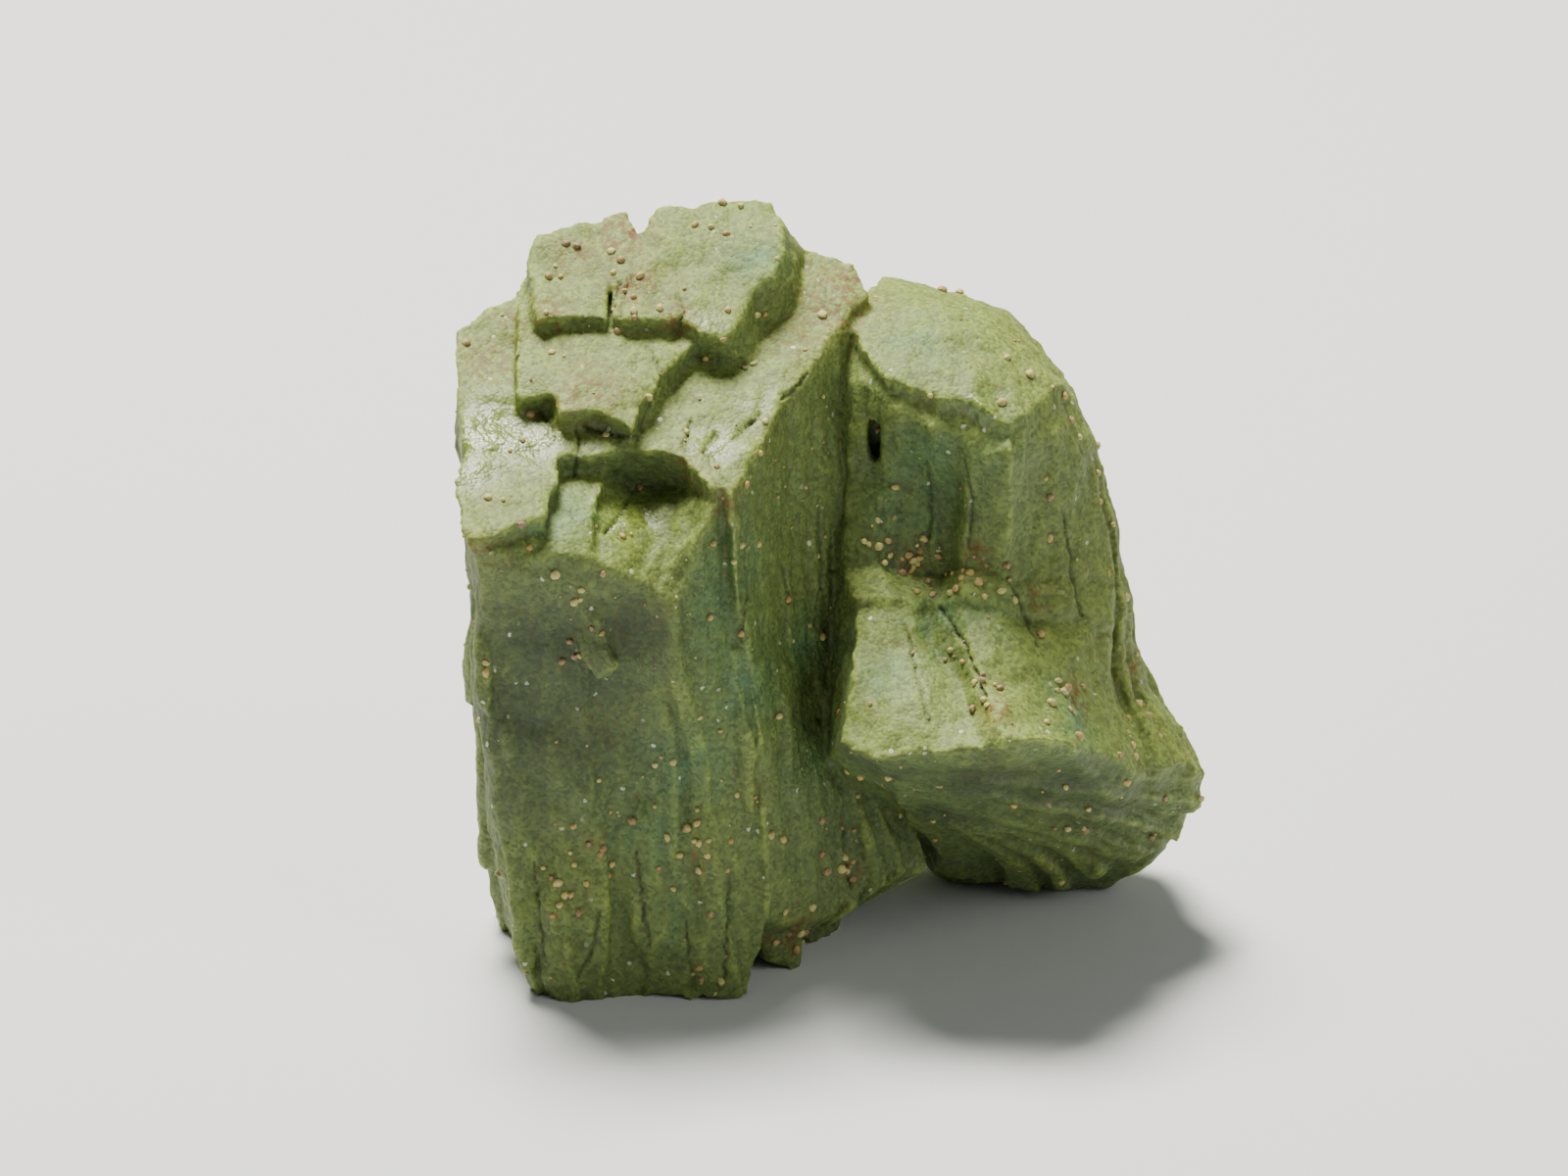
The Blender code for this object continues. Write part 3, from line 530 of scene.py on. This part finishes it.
def mixed(tree, share, first, second, blend="MIX"):
    """Mix of two colours by a share, each a colour or an output."""
    made = node(tree, "ShaderNodeMix", data_type="RGBA", blend_type=blend)
    for socket, value in ((made.inputs[0], share), (made.inputs[6], first), (made.inputs[7], second)):
        if isinstance(value, (int, float, tuple)):
            socket.default_value = value
        else:
            plug(tree, value, socket)
    return made.outputs[2]


def clouds(tree, coordinates, scale, detail=3.0, rough=0.6):
    """Noise over the object, with lumps of one over scale."""
    made = node(tree, "ShaderNodeTexNoise")
    made.inputs["Scale"].default_value = scale
    made.inputs["Detail"].default_value = detail
    made.inputs["Roughness"].default_value = rough
    plug(tree, coordinates, made.inputs["Vector"])
    return made.outputs[0]


def attribute(tree, name):
    """Value of an attribute painted on the points."""
    return node(tree, "ShaderNodeAttribute", attribute_name=name).outputs["Fac"]


grain = bpy.data.node_groups.new("sugary_grain", "ShaderNodeTree")
for name, kind, way in (("Coarse", "NodeSocketFloat", "INPUT"), ("Fine", "NodeSocketFloat", "INPUT"),
                        ("Shade", "NodeSocketFloat", "OUTPUT"), ("Height", "NodeSocketFloat", "OUTPUT"),
                        ("Glint", "NodeSocketFloat", "OUTPUT")):
    grain.interface.new_socket(name, in_out=way, socket_type=kind)
entry = node(grain, "NodeGroupInput")
leave = node(grain, "NodeGroupOutput")
where = node(grain, "ShaderNodeTexCoord").outputs["Object"]
coarse = node(grain, "ShaderNodeTexVoronoi", feature="F1")
fine = node(grain, "ShaderNodeTexVoronoi", feature="F1")
for cells, size in ((coarse, "Coarse"), (fine, "Fine")):
    plug(grain, where, cells.inputs["Vector"])
    plug(grain, entry.outputs[size], cells.inputs["Scale"])
both = math_node(grain, "ADD", coarse.outputs["Distance"], math_node(grain, "MULTIPLY", fine.outputs["Distance"], 0.6))
plug(grain, math_node(grain, "SUBTRACT", 1.0, both), leave.inputs["Height"])
tint = node(grain, "ShaderNodeSeparateColor")
plug(grain, fine.outputs["Color"], tint.inputs[0])
plug(grain, tint.outputs[0], leave.inputs["Shade"])
plug(grain, ramp(grain, tint.outputs[1], 0.9970, 0.9995), leave.inputs["Glint"])
print("group", grain.name, "with", len(grain.nodes), "nodes")

# %% [markdown]
# The stone's colour is built in the order of its causes: a darker green painted as shade where little light
# from above reaches, olive where it does, blue-green in patches, deep green painted as shade in listed spots, a
# painted glow of pale yellow-green on ridges, rust and dust in pits. The plates that face
# the light are glossier, and light sinks in a millimetre or so before it comes back.

# %% Heulandite finish
# The deepest green is painted shade.
PAINTED_SHADE_DEEP = (0.008, 0.020, 0.007, 1.0)
# A darker green for painted shade where little light reaches.
PAINTED_SHADE_GREEN = (0.085, 0.130, 0.038, 1.0)
OLIVE = (0.165, 0.215, 0.036, 1.0)
# A painted glow of light through thin edges.
PAINTED_EDGE_LIGHT = (0.31, 0.38, 0.062, 1.0)
TEAL = (0.030, 0.155, 0.080, 1.0)
RUST = (0.150, 0.058, 0.004, 1.0)
DUST = (0.24, 0.17, 0.05, 1.0)
GLINT = (0.80, 0.84, 0.70, 1.0)
SPLIT = (0.030, 0.030, 0.010, 1.0)

heulandite = bpy.data.materials.new("heulandite")
heulandite.use_nodes = True
tree = heulandite.node_tree
shader = tree.nodes["Principled BSDF"]
where = node(tree, "ShaderNodeTexCoord").outputs["Object"]
sugar = node(tree, "ShaderNodeGroup", node_tree=grain)
sugar.inputs["Coarse"].default_value = 1500.0
sugar.inputs["Fine"].default_value = 4200.0
broad = clouds(tree, where, 130.0)
patchy = clouds(tree, where, 420.0)
speckle = clouds(tree, where, 1700.0, detail=2.0)

# Painted shade: the colour runs from a darker green to olive as more light from above reaches the point, with some
# random tone.
light_and_tone_share = math_node(tree, "ADD", attribute(tree, "sky"), math_node(tree, "MULTIPLY", broad, 0.25))
colour = mixed(tree, ramp(tree, light_and_tone_share, 0.10, 0.62), PAINTED_SHADE_GREEN, OLIVE)
teal_share = math_node(tree, "MULTIPLY", attribute(tree, "teal"), ramp(tree, patchy, 0.30, 0.62))
colour = mixed(tree, math_node(tree, "MULTIPLY", teal_share, 0.75), colour, TEAL)
# Painted shade: in those spots, faces that little light from above reaches are painted almost black-green.
upright = ramp(tree, attribute(tree, "sky"), 0.42, 0.22)
painted_shade_share = math_node(tree, "MULTIPLY", math_node(tree, "MULTIPLY", attribute(tree, "shade_spot_mask"), upright), 0.72)
colour = mixed(tree, painted_shade_share, colour, PAINTED_SHADE_DEEP)
# Painted light: ridges are painted paler yellow-green, as if light shone through the thin edges; not where the painted
# shade lies.
edge_light_share = math_node(tree, "MULTIPLY", attribute(tree, "ridge"), ramp(tree, patchy, 0.20, 0.75))
lit = math_node(tree, "MULTIPLY", edge_light_share, math_node(tree, "SUBTRACT", 1.0, painted_shade_share))
colour = mixed(tree, lit, colour, PAINTED_EDGE_LIGHT)
shade = ramp(tree, sugar.outputs["Shade"], 0.0, 1.0)
colour = mixed(tree, 0.34, colour, mixed(tree, shade, (0.0, 0.0, 0.0, 1.0), (1.0, 1.0, 1.0, 1.0)), "OVERLAY")
pits = math_node(tree, "MULTIPLY", attribute(tree, "hollow"), ramp(tree, speckle, 0.45, 0.7))
colour = mixed(tree, math_node(tree, "MULTIPLY", pits, 0.45), colour, DUST)
colour = mixed(tree, math_node(tree, "MULTIPLY", attribute(tree, "crack"), 0.8), colour, SPLIT)
stain = math_node(tree, "ADD", attribute(tree, "rust"), math_node(tree, "MULTIPLY", ramp(tree, broad, 0.5, 0.8), 0.25))
stain = math_node(tree, "MULTIPLY", stain, ramp(tree, speckle, 0.44, 0.58))
colour = mixed(tree, math_node(tree, "MULTIPLY", stain, 1.0, clamp=True), colour, RUST)
colour = mixed(tree, math_node(tree, "MULTIPLY", sugar.outputs["Glint"], 0.55), colour, GLINT)
plug(tree, colour, shader.inputs["Base Color"])

wet = math_node(tree, "MULTIPLY", attribute(tree, "gloss"), 0.40)
rough = math_node(tree, "SUBTRACT", math_node(tree, "ADD", 0.58, math_node(tree, "MULTIPLY", speckle, 0.16)), wet)
rough = math_node(tree, "SUBTRACT", rough, math_node(tree, "MULTIPLY", sugar.outputs["Glint"], 0.3), clamp=True)
plug(tree, rough, shader.inputs["Roughness"])
shader.inputs["IOR"].default_value = 1.5
shader.inputs["Subsurface Weight"].default_value = 0.3
shader.inputs["Subsurface Radius"].default_value = (0.9, 1.0, 0.45)
shader.inputs["Subsurface Scale"].default_value = 0.9 * MM
height = math_node(tree, "ADD", sugar.outputs["Height"], math_node(tree, "MULTIPLY", speckle, 0.9))
bump = node(tree, "ShaderNodeBump")
bump.inputs["Strength"].default_value = 0.55
bump.inputs["Distance"].default_value = 0.10 * MM
plug(tree, height, bump.inputs["Height"])
plug(tree, bump.outputs["Normal"], shader.inputs["Normal"])
stone.data.materials.clear()
stone.data.materials.append(heulandite)
deselect()
pick(stone)
bpy.ops.object.shade_smooth()
print("finish", heulandite.name, "with", len(tree.nodes), "nodes")

# %% [markdown]
# Sand grains stuck to the stone: cream, ochre and brown. One lump is modelled from an ico sphere,
# then copied to hundreds of places on the stone, each turned, sized and squeezed on its own, and
# half sunk. All copies are joined in one mesh, and each carries its own tone as an attribute.

# %% Model one grain and spread its copies
GRAIN_COUNT = 330
FINE_COUNT = 260
GRAIN_RADIUS = (0.15 * MM, 0.31 * MM)
FINE_RADIUS = (0.06 * MM, 0.13 * MM)
GRAIN_SINK = 0.35
GRAIN_SEED = 41
GRAIN_CLUMPS = [
    (935, 570, 1.6, 12), (985, 590, 1.6, 9), (905, 545, 1.8, 7), (1020, 600, 1.8, 7), (710, 850, 1.8, 9),
    (600, 860, 1.6, 7), (580, 910, 2.2, 7), (815, 965, 2.6, 10), (720, 1000, 1.4, 4), (1095, 715, 1.4, 8),
    (1010, 720, 1.4, 6), (640, 290, 2.2, 8), (560, 260, 2.4, 6), (590, 660, 1.6, 5), (870, 880, 1.6, 6),
]

deselect()
bpy.ops.mesh.primitive_ico_sphere_add(subdivisions=2, radius=1.0, location=(0.0, 0.0, 0.0))
master = bpy.context.object
lumps = displace(master, "lumps", cloud("lumps", 0.9), 0.7)
apply_all(master)
lump_points = points_of(master.data)
lump_faces = [tuple(face.vertices) for face in master.data.polygons]
bpy.data.objects.remove(master)

rng = np.random.default_rng(GRAIN_SEED)
areas = np.array([face.area for face in stone.data.polygons])
centres = np.array([face.center for face in stone.data.polygons])
facings = np.array([face.normal for face in stone.data.polygons])
patches = np.array([noise.noise(Vector(place) / (6.0 * MM)) for place in centres])
likely = areas * np.clip(0.6 + patches, 0.08, None) * (centres[:, 2] > 1.0 * MM)
likely /= likely.sum()
spots = []
for count, radii in ((GRAIN_COUNT, GRAIN_RADIUS), (FINE_COUNT, FINE_RADIUS)):
    for index in rng.choice(len(areas), count, p=likely):
        spots.append((centres[index], facings[index], rng.uniform(*radii)))
for column, row, reach, count in GRAIN_CLUMPS:
    for _ in range(count):
        drift = rng.normal(0.0, reach * MM / PICTURE_WIDTH * PICTURE_PIXELS.x / 2, 2)
        place, facing = on_stone(column + drift[0], row + drift[1])
        if place is not None:
            spots.append((np.array(place), np.array(facing), rng.uniform(*GRAIN_RADIUS)))

all_points, all_faces, tones = [], [], []
for place, facing, radius in spots:
    turn = np.array(Vector(facing).to_track_quat("Z", "Y").to_matrix())
    spin = np.array(Matrix.Rotation(rng.uniform(0.0, 2 * math.pi), 3, "Z"))
    squeeze = radius * np.array([rng.uniform(0.8, 1.3), rng.uniform(0.7, 1.1), rng.uniform(0.6, 0.95)])
    body = (lump_points * squeeze) @ (turn @ spin).T + place + facing * radius * (0.6 - GRAIN_SINK)
    base = len(all_points) * len(lump_points)
    all_points.append(body)
    all_faces.extend(tuple(corner + base for corner in face) for face in lump_faces)
    tones.append(np.full(len(lump_points), rng.beta(1.3, 1.5)))
grain_mesh = bpy.data.meshes.new("sand_grains")
grain_mesh.from_pydata(np.concatenate(all_points).tolist(), [], all_faces)
tone = grain_mesh.attributes.new("tone", "FLOAT", "POINT")
tone.data.foreach_set("value", np.concatenate(tones).astype(np.float32))
sand = bpy.data.objects.new("sand_grains", grain_mesh)
bpy.context.scene.collection.objects.link(sand)
pick(sand)
bpy.ops.object.shade_smooth()
print(len(spots), "grains of", len(lump_faces), "faces")

# %% Sand finish
CREAM = (0.48, 0.41, 0.085, 1.0)
OCHRE = (0.42, 0.25, 0.016, 1.0)
BROWN = (0.19, 0.075, 0.006, 1.0)

sandy = bpy.data.materials.new("sand")
sandy.use_nodes = True
tree = sandy.node_tree
shader = tree.nodes["Principled BSDF"]
sugar = node(tree, "ShaderNodeGroup", node_tree=grain)
sugar.inputs["Coarse"].default_value = 5000.0
sugar.inputs["Fine"].default_value = 11000.0
own = attribute(tree, "tone")
colour = mixed(tree, ramp(tree, own, 0.0, 0.45), BROWN, OCHRE)
colour = mixed(tree, ramp(tree, own, 0.40, 0.75), colour, CREAM)
colour = mixed(tree, math_node(tree, "MULTIPLY", sugar.outputs["Shade"], 0.25), colour, GLINT)
plug(tree, colour, shader.inputs["Base Color"])
plug(tree, ramp(tree, sugar.outputs["Shade"], -1.2, 1.8), shader.inputs["Roughness"])
bump = node(tree, "ShaderNodeBump")
bump.inputs["Strength"].default_value = 0.4
bump.inputs["Distance"].default_value = 0.04 * MM
plug(tree, sugar.outputs["Height"], bump.inputs["Height"])
plug(tree, bump.outputs["Normal"], shader.inputs["Normal"])
sand.data.materials.append(sandy)
print("finish", sandy.name, "with", len(tree.nodes), "nodes")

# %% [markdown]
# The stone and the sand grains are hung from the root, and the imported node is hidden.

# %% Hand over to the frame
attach(stone, "root")
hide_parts(NODE)
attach(sand, "root")
